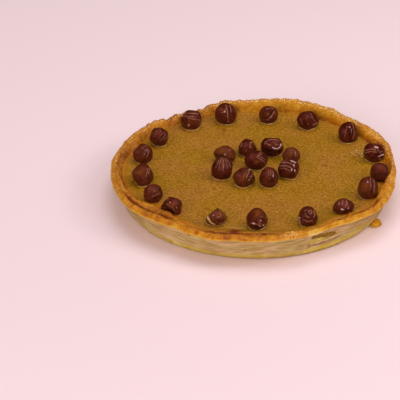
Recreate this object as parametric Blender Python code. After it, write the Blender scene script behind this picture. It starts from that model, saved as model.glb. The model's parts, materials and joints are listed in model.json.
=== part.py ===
"""A round custard pie: an uneven pastry case, the baked custard that fills it and glazed chestnuts on top.

The origin is the middle of the underside, +Z is up, and -Y is the front. Lengths are metres, angles degrees.
"""

import math

import bmesh
import bpy
from mathutils import Matrix, Vector

MM = 0.001

# Driving dimensions of the case and its filling
RIM_RADIUS = 140 * MM
BASE_RADIUS = 125.5 * MM
RIM_HEIGHT = 31 * MM
SHOULDER_DROP = 4 * MM  # from the top of the rim down to its widest line
RIM_WIDTH = 10 * MM
CREASE_AT = 0.75  # how far across the rim its crease runs, from the outside
INNER_SLOPE = 3.5 * MM  # how far the inner wall comes in from the rim down to the custard
FLOOR_THICKNESS = 4 * MM
FLOOR_INSET = 6 * MM  # from the base radius in to the foot of the inner wall
FOOT_ROUNDING = 1.5 * MM
CUSTARD_HEIGHT = 24 * MM
GAP = 0.3 * MM  # kept between pieces that touch
SEGMENTS = 120

# Chestnuts
CHESTNUT_MERIDIANS = 14
CHESTNUT_RINGS = 9
SUNK = 1.2 * MM  # how far a chestnut's round underside is pressed flat

# Where the hand-made rim leaves the circle: middle angle, half width, outwards and upwards
RIM_BUMPS = (
    (78, 30, 4.0 * MM, 0.5 * MM),
    (62, 26, 3.0 * MM, 4.0 * MM),
    (26, 11, 4.5 * MM, 1.0 * MM),
    (82, 5, 1.0 * MM, 1.5 * MM),
    (104, 5, 1.0 * MM, 2.0 * MM),
    (113, 5, -1.0 * MM, -2.5 * MM),
    (129, 6, -1.0 * MM, -2.5 * MM),
    (143, 9, 1.0 * MM, 1.5 * MM),
    (-150, 15, 2.0 * MM, 0.0),
    (-125, 6, -3.0 * MM, 0.0),
    (-107, 6, 3.0 * MM, 0.5 * MM),
    (-57, 11, -6.0 * MM, -1.0 * MM),
    (-33, 9, 2.5 * MM, 0.5 * MM),
    (0, 13, -2.0 * MM, 0.0),
)
# Where the rim is thicker (or thinner) than usual, inwards: middle angle, half width, extra width, and how far
# its inner edge sinks there
RIM_FOLDS = (
    (-139, 14, 9.0 * MM, 3.0 * MM),
    (-46, 10, 4.0 * MM, 1.5 * MM),
    (-62, 8, -4.0 * MM, 0.0),
    (175, 16, -3.0 * MM, 0.0),
    (3, 22, -4.5 * MM, 0.0),
    (27, 10, 3.0 * MM, 0.0),
    (60, 30, 2.0 * MM, 0.0),
)

# Creases pressed into the top of the rim, between its outer ridge and an inner flap: middle angle, half width, depth
RIM_CREASES = (
    (-139, 12, 3.5 * MM),
    (-92, 12, 1.5 * MM),
    (-40, 13, 3.0 * MM),
    (-172, 14, 1.2 * MM),
)
# Small waves that run all the way round: waves in a turn, height, starting angle
RIM_WAVES = (
    (11, 0.5 * MM, 20),
    (19, 0.4 * MM, 75),
    (31, 0.3 * MM, 140),
)

# Each chestnut: polar angle and distance from the middle, width, height over its width, turn of its long axis
CHESTNUTS = (
    (122.5, 115.4 * MM, 20.0 * MM, 1.01, 10),
    (103.6, 113.4 * MM, 22.9 * MM, 0.86, 95),
    (81.9, 111.6 * MM, 18.8 * MM, 0.90, 40),
    (60.6, 112.6 * MM, 21.8 * MM, 0.80, 150),
    (36.8, 117.5 * MM, 19.7 * MM, 0.98, 70),
    (14.4, 121.8 * MM, 21.6 * MM, 0.82, 105),
    (-5.2, 122.0 * MM, 18.6 * MM, 0.98, 90),
    (-22.4, 117.8 * MM, 20.6 * MM, 0.99, 70),
    (-42.4, 113.7 * MM, 19.6 * MM, 0.72, 10),
    (-63.1, 110.3 * MM, 19.4 * MM, 0.91, 60),
    (-89.2, 104.4 * MM, 21.4 * MM, 0.92, 85),
    (-110.8, 103.4 * MM, 19.6 * MM, 0.77, 140),
    (-136.1, 110.5 * MM, 19.4 * MM, 0.88, 165),
    (-151.5, 111.5 * MM, 18.4 * MM, 0.98, 30),
    (-170.6, 109.7 * MM, 22.2 * MM, 0.92, 75),
    (166.3, 111.9 * MM, 20.0 * MM, 0.92, 110),
    (146.2, 112.6 * MM, 18.6 * MM, 0.98, 50),
    (134.7, 39.9 * MM, 20.8 * MM, 0.76, 160),
    (-169.9, 31.9 * MM, 21.6 * MM, 0.98, 90),
    (98.3, 41.4 * MM, 18.6 * MM, 0.88, 60),
    (82.9, 14.8 * MM, 21.8 * MM, 0.78, 20),
    (66.9, 45.8 * MM, 21.6 * MM, 0.84, 5),
    (34.8, 44.9 * MM, 18.4 * MM, 0.84, 80),
    (-7.7, 34.1 * MM, 20.8 * MM, 0.88, 145),
    (-116.8, 23.2 * MM, 20.8 * MM, 0.84, 25),
    (-58.2, 26.2 * MM, 19.4 * MM, 0.98, 100),
)

# Colours (sRGB would look lighter: these are linear), roughness
PASTRY_LOOK = ((0.48, 0.25, 0.07, 1.0), 0.5)
CUSTARD_LOOK = ((0.40, 0.22, 0.04, 1.0), 0.45)
CHESTNUT_LOOK = ((0.08, 0.018, 0.010, 1.0), 0.25)


def smooth_step(low, high, value):
    """0 below low, 1 above high, and an even S between them."""
    share = min(1.0, max(0.0, (value - low) / (high - low)))
    return share * share * (3 - 2 * share)


def bell(angle, middle, half_width):
    """1 at the middle angle, fading to nothing about two half widths away."""
    away = (angle - middle + 180) % 360 - 180
    return math.exp(-((away / half_width) ** 2))


def waves(angle):
    return sum(height * math.sin(math.radians(count * angle + start)) for count, height, start in RIM_WAVES)


def rim_outwards(angle):
    return sum(out * bell(angle, middle, width) for middle, width, out, _ in RIM_BUMPS)


def rim_upwards(angle):
    return sum(up * bell(angle, middle, width) for middle, width, _, up in RIM_BUMPS)


def rim_inwards(angle):
    return sum(extra * bell(angle, middle, width) for middle, width, extra, _ in RIM_FOLDS)


def inner_edge_sink(angle):
    return sum(sink * bell(angle, middle, width) for middle, width, _, sink in RIM_FOLDS)


def rim_crease(angle):
    return sum(depth * bell(angle, middle, width) for middle, width, depth in RIM_CREASES)


def crust_profile():
    """The case's half section from the middle of its underside, up the outside and down to the inner floor."""
    lip = RIM_HEIGHT - SHOULDER_DROP
    inner_top = RIM_RADIUS - RIM_WIDTH
    slope = (RIM_RADIUS - BASE_RADIUS) / lip
    return [
        (0.0, 0.0),
        (BASE_RADIUS - FOOT_ROUNDING, 0.0),
        (BASE_RADIUS + slope * FOOT_ROUNDING, FOOT_ROUNDING),
        (BASE_RADIUS + slope * lip / 2, lip / 2),
        (RIM_RADIUS - slope * 2 * MM, lip - 2 * MM),
        (RIM_RADIUS, lip),
        (RIM_RADIUS - 0.15 * RIM_WIDTH, RIM_HEIGHT - 0.5 * SHOULDER_DROP),
        (RIM_RADIUS - 0.4 * RIM_WIDTH, RIM_HEIGHT - 0.1 * SHOULDER_DROP),
        (RIM_RADIUS - CREASE_AT * RIM_WIDTH, RIM_HEIGHT),
        (RIM_RADIUS - 0.88 * RIM_WIDTH, RIM_HEIGHT - 0.05 * SHOULDER_DROP),
        (inner_top, RIM_HEIGHT - 0.3 * SHOULDER_DROP),
        (inner_top - INNER_SLOPE, CUSTARD_HEIGHT),
        (BASE_RADIUS - FLOOR_INSET, FLOOR_THICKNESS),
        (0.0, FLOOR_THICKNESS),
    ]


def custard_profile():
    """The filling's half section: it follows the case's inner wall, a gap away, and has a level top."""
    inner_top = RIM_RADIUS - RIM_WIDTH
    return [
        (0.0, FLOOR_THICKNESS + GAP),
        (BASE_RADIUS - FLOOR_INSET - GAP, FLOOR_THICKNESS + GAP),
        (inner_top - INNER_SLOPE - 1.2 * GAP, CUSTARD_HEIGHT),
        (0.0, CUSTARD_HEIGHT),
    ]


def make_uneven(vertex):
    """Moves a point of the turned case or filling as the hand-made rim goes."""
    radius = math.hypot(vertex.co.x, vertex.co.y)
    if radius < 0.5 * BASE_RADIUS:
        return
    angle = math.degrees(math.atan2(vertex.co.y, vertex.co.x))
    height = vertex.co.z
    share_up = smooth_step(FLOOR_THICKNESS, RIM_HEIGHT - SHOULDER_DROP, height)
    share_of_rim = smooth_step(CUSTARD_HEIGHT, RIM_HEIGHT, height)
    outwards = rim_outwards(angle) * share_up + waves(angle) * share_of_rim
    across = (RIM_RADIUS - radius) / RIM_WIDTH
    is_inside = height > FLOOR_THICKNESS + 2 * GAP and radius < RIM_RADIUS - 0.5 * RIM_WIDTH
    inwards = rim_inwards(angle) * share_up * smooth_step(0.4, 1.0, across) if is_inside else 0.0
    upwards = (rim_upwards(angle) + waves(angle + 40)) * share_of_rim
    if across > CREASE_AT + 0.05:
        upwards -= inner_edge_sink(angle) * share_of_rim
    if abs(across - CREASE_AT) < 0.05 and height > CUSTARD_HEIGHT:
        upwards -= rim_crease(angle)
    scale = (radius + outwards - inwards) / radius
    vertex.co.x *= scale
    vertex.co.y *= scale
    vertex.co.z += upwards


def material(name, look):
    colour, roughness = look
    made = bpy.data.materials.new(name)
    made.use_nodes = True
    surface = made.node_tree.nodes["Principled BSDF"]
    surface.inputs["Base Color"].default_value = colour
    surface.inputs["Roughness"].default_value = roughness
    surface.inputs["Metallic"].default_value = 0.0
    return made


def add_object(name, bm, collection, look_material):
    """Turns finished geometry into a named object with its own material."""
    mesh = bpy.data.meshes.new(name)
    bm.to_mesh(mesh)
    bm.free()
    mesh.materials.append(look_material)
    mesh.shade_smooth()
    mesh.set_sharp_from_angle(angle=math.radians(40))
    made = bpy.data.objects.new(name, mesh)
    collection.objects.link(made)
    return made


def turned(name, profile, collection, look_material):
    """Spins a half section round Z and lets the hand-made rim pull it out of round."""
    bm = bmesh.new()
    points = [bm.verts.new((radius, 0.0, height)) for radius, height in profile]
    edges = [bm.edges.new(pair) for pair in zip(points, points[1:])]
    bmesh.ops.spin(
        bm,
        geom=points + edges,
        cent=(0, 0, 0),
        axis=(0, 0, 1),
        angle=math.tau,
        steps=SEGMENTS,
        use_merge=True,
    )
    bmesh.ops.remove_doubles(bm, verts=bm.verts, dist=0.01 * MM)
    bmesh.ops.recalc_face_normals(bm, faces=bm.faces)
    for vertex in bm.verts:
        make_uneven(vertex)
    # The same diagonals on both sides of the gap keep the case and the filling apart.
    bmesh.ops.triangulate(bm, faces=bm.faces, quad_method="SHORT_EDGE")
    return add_object(name, bm, collection, look_material)


def chestnut_shape(direction):
    """How far a unit chestnut reaches in a direction: a blunt point at +X and a shallow cleft along its top."""
    point = 0.10 * max(0.0, direction.x) ** 3
    cleft = 0.09 * math.exp(-((direction.y / 0.22) ** 2)) * max(0.0, direction.z)
    waist = 0.05 * direction.y**2
    return 1.0 + point - cleft - waist


def chestnut(name, angle, distance, width, height_share, turn, collection, look_material):
    """One peeled chestnut, standing on the custard on a flat it was pressed to."""
    half_width = width / 2
    half_height = half_width * height_share
    seat = CUSTARD_HEIGHT + GAP
    middle = seat - SUNK + half_height
    bm = bmesh.new()
    bmesh.ops.create_uvsphere(bm, u_segments=CHESTNUT_MERIDIANS, v_segments=CHESTNUT_RINGS, radius=1.0)
    turned_to = Matrix.Rotation(math.radians(turn), 3, "Z")
    for vertex in bm.verts:
        shaped = vertex.co * chestnut_shape(vertex.co.normalized())
        shaped = turned_to @ Vector((shaped.x * half_width, shaped.y * half_width, shaped.z * half_height))
        shaped.z = max(shaped.z, seat - middle)
        vertex.co = shaped
    made = add_object(name, bm, collection, look_material)
    direction = math.radians(angle)
    made.location = (distance * math.cos(direction), distance * math.sin(direction), middle)
    return made


def build():
    for old in list(bpy.data.objects):
        bpy.data.objects.remove(old)
    pie = bpy.data.collections.new("custard_pie")
    bpy.context.scene.collection.children.link(pie)
    turned("crust", crust_profile(), pie, material("pastry", PASTRY_LOOK))
    turned("custard", custard_profile(), pie, material("custard", CUSTARD_LOOK))
    glazed = material("glazed_chestnut", CHESTNUT_LOOK)
    for number, place in enumerate(CHESTNUTS, start=1):
        chestnut(f"chestnut_{number:02d}", *place, pie, glazed)


build()
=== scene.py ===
"""The looks of a round custard pie: its baked case, its custard and the glazed chestnuts on top.

Lengths are metres and angles are degrees. The pie's middle is the origin, +Z is up and -Y is its front.
"""

import json
import math
from typing import NamedTuple

import bpy
import numpy as np
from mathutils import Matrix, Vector, noise

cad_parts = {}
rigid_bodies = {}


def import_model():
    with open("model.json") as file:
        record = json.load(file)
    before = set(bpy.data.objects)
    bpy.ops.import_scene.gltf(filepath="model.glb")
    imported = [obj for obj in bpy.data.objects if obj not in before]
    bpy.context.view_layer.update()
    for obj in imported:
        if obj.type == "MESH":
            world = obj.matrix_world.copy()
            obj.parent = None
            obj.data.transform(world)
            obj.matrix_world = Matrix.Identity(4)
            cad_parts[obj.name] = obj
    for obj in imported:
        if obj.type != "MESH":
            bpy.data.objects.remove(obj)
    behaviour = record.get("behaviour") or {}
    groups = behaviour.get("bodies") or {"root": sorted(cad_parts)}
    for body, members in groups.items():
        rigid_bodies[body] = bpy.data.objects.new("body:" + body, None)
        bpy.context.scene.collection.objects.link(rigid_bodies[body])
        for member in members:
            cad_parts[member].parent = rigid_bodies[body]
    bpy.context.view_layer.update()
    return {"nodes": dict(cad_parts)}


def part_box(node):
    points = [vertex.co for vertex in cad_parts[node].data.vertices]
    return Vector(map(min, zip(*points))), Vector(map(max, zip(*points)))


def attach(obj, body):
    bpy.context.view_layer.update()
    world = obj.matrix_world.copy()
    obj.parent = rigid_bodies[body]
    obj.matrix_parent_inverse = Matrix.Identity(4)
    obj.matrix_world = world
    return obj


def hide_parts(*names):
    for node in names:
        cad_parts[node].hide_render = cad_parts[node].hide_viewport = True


MM = 0.001

# Camera, as fitted to the pie in the photograph
CAMERA_PLACE = (-52.7 * MM, -3083.0 * MM, 1703.6 * MM)
CAMERA_DOWN = 29.0
CAMERA_LENS_MM = 324.0
SENSOR_MM = 36.0

# How fine the meshes are
CRUST_TURNS = 1080
CRUST_STEPS = (3, 14, 14, 6, 5, 6, 9, 5, 5, 9, 3)  # between neighbouring points of the CAD's section
CUSTARD_TURNS = 600
NUT_TURNS = 128
NUT_STEPS = 64

# The CAD case's section, from the foot of its outer wall over the rim to its inner foot
CAD_TURNS = 120
CAD_LIP = 4
CAD_SHOULDER = 6
CAD_CREASE = 7
CAD_BELOW_CREASE = 8
CAD_INNER_TOP = 9
CAD_CUSTARD_LINE = 10

# Baked case
LEDGE = 1.3 * MM  # how far the rim stands out over the part that the tin held
CRUMB = 0.4 * MM
LUMP = 0.6 * MM
STREAK = 0.13 * MM
JAG = 0.9 * MM
SWAY = 0.7 * MM
CREASE_DEPTH = 2.2 * MM
# Creases on top of the rim: polar angles, distances from the middle in mm, and the angles where they gape
LEFT_CREASE = (
    (-212, -200, -187, -175, -160, -149, -143.6, -137.4, -132.7, -127, -122),
    (132, 132.5, 133.5, 135.5, 135.5, 133.7, 130.9, 128.6, 127, 126.8, 126.5),
    (-156, -129),
)
RIGHT_CREASE = (
    (-54, -49, -46, -44, -42, -39.8, -37, -33.6, -30.2, -27, -20),
    (121, 121.5, 123.5, 125.5, 128.6, 131, 132.3, 133.6, 133.8, 133.5, 134),
    (-46, -26),
)
CREASES = ((LEFT_CREASE, 2.0 * MM, 1.1), (RIGHT_CREASE, 1.2 * MM, 0.8))  # widths, and how dark they are painted: browning, and painted shade in the crease
DIP = (-37, 10)  # where the rim dips: its middle angle and half width
DIP_DEPTH = 0.9 * MM
# The break in the wall: where the wall is set back, where its top edge is missing, and how far
SET_BACK = (-69.3, -20)
SET_BACK_DEPTH = 1.8 * MM
MISSING = (-68.6, -61.5)
MISSING_DEPTH = 2.2 * MM
MISSING_WIDTH = 1.5 * MM
# The hollow that the leak left, from and to: angle, and height in mm
HOLLOW_START = (-66, 19.4)
HOLLOW_END = (-52.6, 15.6)
HOLLOW_HALF_HEIGHT = 2.6
HOLLOW_DEPTH = 1.3 * MM
HOLE = (-118, 24)  # a small hole under the lip at the front left: angle, and height in mm
HOLE_DEPTH = 2.5 * MM
# Dark spots on the wall: angle, height and size in mm. The first is painted shade in the hole under the lip;
# the others are marks on the wall.
WALL_SPOTS = ((-118, 24.0, 2.6), (-136.5, 19, 0.9), (-94.5, 13.5, 1.2), (-66.8, 9.6, 1.5), (-34, 14, 1.3))
# The gap between case and custard along the front, and where else the custard's edge stands free
GAP_START, GAP_END = -113, -80
FREE_START, FREE_END = -68.5, -46
GAP_SHOWS = 1.9 * MM  # height of the custard's side that is in sight over the rim
# How far the case reaches in under that gap: point of the section, mm inwards and mm down
GAP_REACH = (
    (CAD_CREASE, 1.5, 0.5),
    (CAD_BELOW_CREASE, 2.4, 2.0),
    (CAD_INNER_TOP, 3.2, 3.1),
    (CAD_CUSTARD_LINE, 3.0, 0.0),
)
# The custard's lip along the front: polar angles, and how far it climbs there in mm
LIP_ANGLES = (-117, -109, -82, -76, -70, -66, -60, -50, -44, -38)
LIP_CLIMB = (0, 4.1, 4.1, 2.6, 2.6, 4.3, 4.3, 2.3, 1.2, 0)
# Where the rim's inner flap hangs over the custard, and a narrower one at the right
FLAP = (-150, -129)
RIGHT_FLAP = (-18, 8.5, 0.85)
FLAP_REACH = 4.6 * MM
FLAP_STAIN_ANGLES = (-157, -150, -146, -137, -131, -127)
FLAP_STAIN = (0, 10, 13, 14, 11, 0)  # how far its golden stain reaches over the custard, in mm

# Stretches round the pie: middle angle, half width and amount
JAGGED = ((125, 24, 1.6), (50, 50, 0.5), (0, 25, 0.7))
LUMPY = ((90, 60, 0.9), (130, 22, 0.4))
BACK = (85, 60, 1.0)
RIM_BROWN = (
    (-135, 30, 0.10), (-95, 25, 0.06), (-90, 30, 0.03), (-50, 18, -0.03), (-30, 40, 0.04), (0, 35, 0.08),
    (85, 60, 0.02), (122, 22, 0.13),
)
# Its negative amount at the back paints the back's inner slope lighter: painted light against the shade
# there
SLOPE_BROWN = ((30, 28, 0.05), (178, 25, 0.03), (85, 60, -0.06))
# The next two say where pale specks are painted on the rim as glints: painted highlight
PAINTED_GLINT_SPECKS = ((-76, 3, 0.65), (175, 40, 0.2))
TOP_PAINTED_GLINT_SPECKS = ((85, 60, 1.05), (5, 28, 0.3))
GREASY = ((-55, 30, 0.3), (-115, 20, 0.25))
GOLDEN_CUSTARD = ((-14, 14, 0.8), (182, 28, 0.6), (-121, 9, 0.75), (-72, 6, 0.85), (-56, 8, 0.5))

# Custard
CUSTARD_GAP = 0.25 * MM
CUSTARD_RINGS = 118
CUSTARD_EDGE_RINGS = 18
EDGE_BAND = 9 * MM
CUSTARD_SIDE = (0.0, 0.3, 0.6, 0.8, 0.9, 0.96, 0.99)  # shares of its side's height
GAP_WIDTH = 0.3 * MM
CLIMB_REACH = 18 * MM
LEAST_CLIMB = 0.8 * MM
FRONT_DARK_PATCH = (-99.5, 2.7, 1.0)  # where the custard is painted dark along the front, and dips a little
# Small dark marks: angle, distance from the middle, and half widths along X and Y in mm
CUSTARD_MARKS = (
    (13.7, 70.7, 3.4, 1.3), (-81.8, 122.5, 1.8, 1.6), (107.3, 95.3, 2.2, 3.8), (-123, 84.4, 1.5, 1.6),
)


# ---- Small helpers ----


def smooth_step(low, high, value):
    """0 up to low, 1 from high on, and an even S between them. Where low is the larger, it falls instead."""
    share = np.clip((np.asarray(value, float) - low) / (high - low), 0.0, 1.0)
    return share * share * (3 - 2 * share)


def hump(value, middle, half_width):
    """1 at the middle value, fading to nothing about two half widths away."""
    return np.exp(-(((value - middle) / half_width) ** 2))


def away_from(angle, middle):
    """The angle past a middle one, from -180 to 180."""
    return (np.asarray(angle, float) - middle + 180) % 360 - 180


def bell(angle, middle, half_width, amount=1.0):
    """The amount at the middle angle, fading to nothing about two half widths away."""
    return amount * hump(away_from(angle, middle), 0, half_width)


def bells(angle, stretches):
    """A sum of bells. Each stretch is a middle angle, a half width and an amount."""
    return sum(bell(angle, *stretch) for stretch in stretches)


def between(angle, start, end, fade):
    """1 from the start angle to the end angle, with soft ends."""
    away = away_from(angle, (start + end) / 2)
    half = (end - start) / 2
    return smooth_step(-half - fade, -half + fade, away) * smooth_step(half + fade, half - fade, away)


def fractal(points, size, octaves=3, seed=0, basis="PERLIN_ORIGINAL"):
    """Smooth noise, about -1 to 1, with bumps of the given size, at an array of points."""
    shift = Vector((13.7, 5.1, 29.3)) * seed
    scale = 1 / size
    places = [Vector(point) * scale + shift for point in np.asarray(points, float).reshape(-1, 3)]
    values = [noise.fractal(place, 1.0, 2.0, octaves, noise_basis=basis) for place in places]
    return np.array(values).reshape(np.shape(points)[:-1])


def linear(red, green, blue):
    """A colour as a screen shows it (0 to 255), in the linear values that a shader takes."""

    def channel(value):
        share = value / 255
        return share / 12.92 if share <= 0.04045 else ((share + 0.055) / 1.055) ** 2.4

    return (channel(red), channel(green), channel(blue), 1.0)


def polar(radius, angle, height):
    """Points from radius, angle and height."""
    turned = np.radians(angle)
    return np.stack(np.broadcast_arrays(radius * np.cos(turned), radius * np.sin(turned), height), axis=-1)


class Skin(NamedTuple):
    """A closed skin: grid[turn, step], with its first and last steps drawn together to one point each.

    shades are named values for each point of the grid, which the piece's material reads.
    """

    grid: np.ndarray
    first: tuple
    last: tuple
    shades: dict = {}


def closed_piece(name, *skins):
    """One object from closed skins."""
    points, faces, shades = [], [], {shade: [] for shade in skins[0].shades}
    count = 0
    for skin in skins:
        turns, steps, _ = skin.grid.shape
        index = count + np.arange(turns * steps).reshape(turns, steps)
        bottom = count + turns * steps
        after = np.roll(index, -1, axis=0)
        quads = np.stack([index[:, :-1], after[:, :-1], after[:, 1:], index[:, 1:]], axis=-1)
        start = np.stack([np.full(turns, bottom), after[:, 0], index[:, 0]], axis=-1)
        end = np.stack([index[:, -1], after[:, -1], np.full(turns, bottom + 1)], axis=-1)
        faces += quads.reshape(-1, 4).tolist() + start.tolist() + end.tolist()
        points += [skin.grid.reshape(-1, 3), [skin.first, skin.last]]
        count = bottom + 2
        for shade, values in skin.shades.items():
            shades[shade] += [values.ravel(), [values[:, 0].mean(), values[:, -1].mean()]]
    mesh = bpy.data.meshes.new(name)
    mesh.from_pydata(np.concatenate(points).tolist(), [], faces)
    mesh.shade_smooth()
    for shade, values in shades.items():
        layer = mesh.attributes.new(shade, "FLOAT", "POINT")
        layer.data.foreach_set("value", np.concatenate(values).astype(np.float32))
    made = bpy.data.objects.new(name, mesh)
    bpy.context.scene.collection.objects.link(made)
    return made


def grid_normals(grid):
    """Outward unit normals of grid[turn, step]."""
    along = np.roll(grid, -1, axis=0) - np.roll(grid, 1, axis=0)
    across = np.gradient(grid, axis=1)
    normals = np.cross(along, across)
    return normals / np.maximum(np.linalg.norm(normals, axis=-1, keepdims=True), 1e-12)


def finish_piece(piece, material, slot, *nodes):
    """Gives a piece its material, its place on the pie and the CAD nodes that it stands for."""
    piece.data.materials.clear()
    piece.data.materials.append(material)
    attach(piece, "root")
    if nodes:
        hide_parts(*nodes)


# ---- Materials ----


# Turns each noise's grid, in radians, so that its cells don't line up with the pie's flat top
NOISE_TURN = (0.5, 0.35, 0.6)


class Shader:
    """A short way to write a material's nodes. Each method returns the socket that holds its result."""

    def __init__(self, name):
        self.material = bpy.data.materials.new(name)
        self.material.use_nodes = True
        self.tree = self.material.node_tree
        self.surface = self.tree.nodes["Principled BSDF"]
        self.place = self.tree.nodes.new("ShaderNodeTexCoord").outputs["Object"]

    def put(self, value, socket):
        if isinstance(value, bpy.types.NodeSocket):
            self.tree.links.new(value, socket)
        else:
            socket.default_value = value

    def set(self, **values):
        for name, value in values.items():
            self.put(value, self.surface.inputs[name.replace("_", " ")])

    def node(self, kind, output, **inputs):
        node = self.tree.nodes.new("ShaderNode" + kind)
        for name, value in inputs.items():
            self.put(value, node.inputs[name.replace("_", " ")])
        return node.outputs[output]

    def shade(self, name):
        shade = self.node("Attribute", "Fac")
        shade.node.attribute_name = name
        return shade

    def noise(self, size, detail=3.0, roughness=0.55, stretch=(1, 1, 1)):
        place = self.node("Mapping", "Vector", Vector=self.place, Scale=stretch, Rotation=NOISE_TURN)
        return self.node("TexNoise", "Fac", Vector=place, Scale=1 / size, Detail=detail, Roughness=roughness)

    def ramp(self, value, *stops):
        ramp = self.node("ValToRGB", "Color", Fac=value)
        elements = ramp.node.color_ramp.elements
        while len(elements) < len(stops):
            elements.new(0.5)
        for element, (position, colour) in zip(elements, stops):
            element.position = position
            element.color = linear(*colour) if isinstance(colour, tuple) else (colour, colour, colour, 1)
        return ramp

    def mix(self, share, first, second):
        node = self.tree.nodes.new("ShaderNodeMix")
        node.data_type = "RGBA"
        second = linear(*second) if isinstance(second, tuple) else second
        for number, value in ((0, share), (6, first), (7, second)):
            self.put(value, node.inputs[number])
        return node.outputs[2]

    def tinted(self, colour, tints):
        """The colour under others, each given as a shade's name, how strongly it covers, and its colour."""
        for shade, share, tint in tints:
            colour = self.mix(self.product(self.shade(shade), share), colour, tint)
        return colour

    def sum(self, first, second, kind="ADD"):
        total = self.node("Math", "Value")
        total.node.operation = kind
        self.put(first, total.node.inputs[0])
        self.put(second, total.node.inputs[1])
        return total

    def product(self, first, second):
        return self.sum(first, second, "MULTIPLY")

    def scaled(self, value, low, high, new_low, new_high):
        bounds = {"From_Min": low, "From_Max": high, "To_Min": new_low, "To_Max": new_high}
        return self.node("MapRange", "Result", Value=value, **bounds)

    def bump(self, height, depth, strength, **below):
        return self.node("Bump", "Normal", Height=height, Distance=depth, Strength=strength, **below)


# From pale dough to nearly burnt, at shares of the browning
BAKED = (
    (0.0, (220, 190, 132)), (0.2, (216, 168, 78)), (0.4, (208, 146, 26)), (0.55, (192, 119, 8)),
    (0.7, (162, 86, 8)), (0.85, (122, 52, 6)), (1.0, (66, 24, 4)),
)
ALONG_WALL = (0.12, 0.12, 1.0)  # stretches a noise into level streaks
# What lies over the custard and over a chestnut, in order: shade, how strongly it covers, and colour
# On the custard, pale is painted highlight, and dark is partly painted shade
CUSTARD_TINTS = (("rim", 1.0, (186, 111, 12)), ("pale", 1.0, (208, 160, 80)), ("dark", 1.0, (116, 44, 18)))
NUT_TINTS = (
    ("tone", 0.8, (132, 70, 36)),
    # pinkish patches painted on the upper sides: a painted reflection, sheen
    ("mauve", 0.4, (132, 68, 58)),
    ("amber", 0.5, (136, 72, 20)),
    # dark grooves and patches, partly their own colour and partly painted shade, as under overhangs
    ("groove", 0.8, (26, 5, 4)),
    # lighter lines along the ridges, partly their own colour and partly painted highlight
    ("crest", 0.55, (186, 128, 104)),
    # white spots painted on as highlights
    ("glint", 0.85, (240, 202, 194)),
    ("cream", 1.0, (226, 186, 122)),
)


def crust_material():
    """Baked shortcrust: pale where the tin was, golden to brown on the rim with pale specks painted on as
    highlights, greasy at the foot.
    """
    shader = Shader("baked_crust")
    grain = shader.noise(1.4 * MM, 4, 0.7)
    blotch = shader.noise(7 * MM, 3)
    baked = shader.sum(shader.shade("bake"), shader.scaled(blotch, 0.3, 0.7, -0.03, 0.03))
    grainy = shader.scaled(shader.shade("grit"), 0.0, 1.0, 0.6, 1.6)
    baked = shader.sum(baked, shader.product(shader.scaled(grain, 0.3, 0.7, -0.10, 0.10), grainy))
    colour = shader.ramp(baked, *BAKED)
    # pale specks painted on the rim as glints: painted highlight
    glint_specks = shader.ramp(shader.noise(1.2 * MM, 2, 0.5), (0.56, 0.0), (0.62, 1.0))
    colour = shader.mix(shader.product(glint_specks, shader.shade("grit")), colour, (255, 226, 170))
    streak = shader.noise(1.8 * MM, 3, 0.5, ALONG_WALL)
    streaked = shader.ramp(streak, (0.39, (152, 114, 58)), (0.5, (184, 150, 90)), (0.61, (218, 190, 138)))
    cloud = shader.noise(4 * MM, 2, 0.5, ALONG_WALL)
    tint = shader.ramp(cloud, (0.42, (206, 160, 124)), (0.58, (182, 162, 80)))
    streaked = shader.mix(0.4, streaked, tint)
    oily = shader.ramp(shader.noise(7 * MM, 3), (0.35, (200, 166, 44)), (0.65, (226, 198, 104)))
    # dark is browning and painted shade in the creases, painted shade in the gap and the hole, a painted
    # shadow under the ledge, and marks on the wall
    tints = (("wall", 0.85, streaked), ("grease", 1.0, oily), ("dark", 1.0, (112, 44, 4)))
    colour = shader.tinted(colour, tints)
    lumps = shader.bump(shader.noise(2.8 * MM, 4, 0.6), 0.6 * MM, 0.6)
    shader.set(
        Base_Color=colour,
        Roughness=shader.scaled(shader.shade("grease"), 0.0, 1.0, 0.5, 0.35),
        Normal=shader.bump(grain, 0.35 * MM, 0.8, Normal=lumps),
        Specular_IOR_Level=0.27,
    )
    return shader.material


def custard_material():
    """Baked custard: mustard brown, speckled darker and lighter, with a soft sheen."""
    shader = Shader("baked_custard")
    speck = shader.noise(1.6 * MM, 2, 0.5, stretch=(0.75, 1, 1))
    colour = shader.ramp(shader.noise(45 * MM, 2), (0.40, (164, 108, 34)), (0.60, (156, 108, 10)))
    dark = shader.ramp(speck, (0.36, 1.0), (0.49, 0.0))
    colour = shader.mix(shader.product(dark, 0.46), colour, (108, 60, 4))
    light = shader.ramp(speck, (0.50, 0.0), (0.62, 1.0))
    colour = shader.mix(shader.product(light, 0.42), colour, (196, 146, 52))
    colour = shader.tinted(colour, CUSTARD_TINTS)
    grain = shader.bump(speck, 0.8 * MM, 0.7)
    soft = shader.bump(shader.noise(7 * MM, 2), 0.8 * MM, 0.4, Normal=grain)
    shader.set(Base_Color=colour, Roughness=0.42, Normal=soft, Specular_IOR_Level=0.3)
    return shader.material


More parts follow.
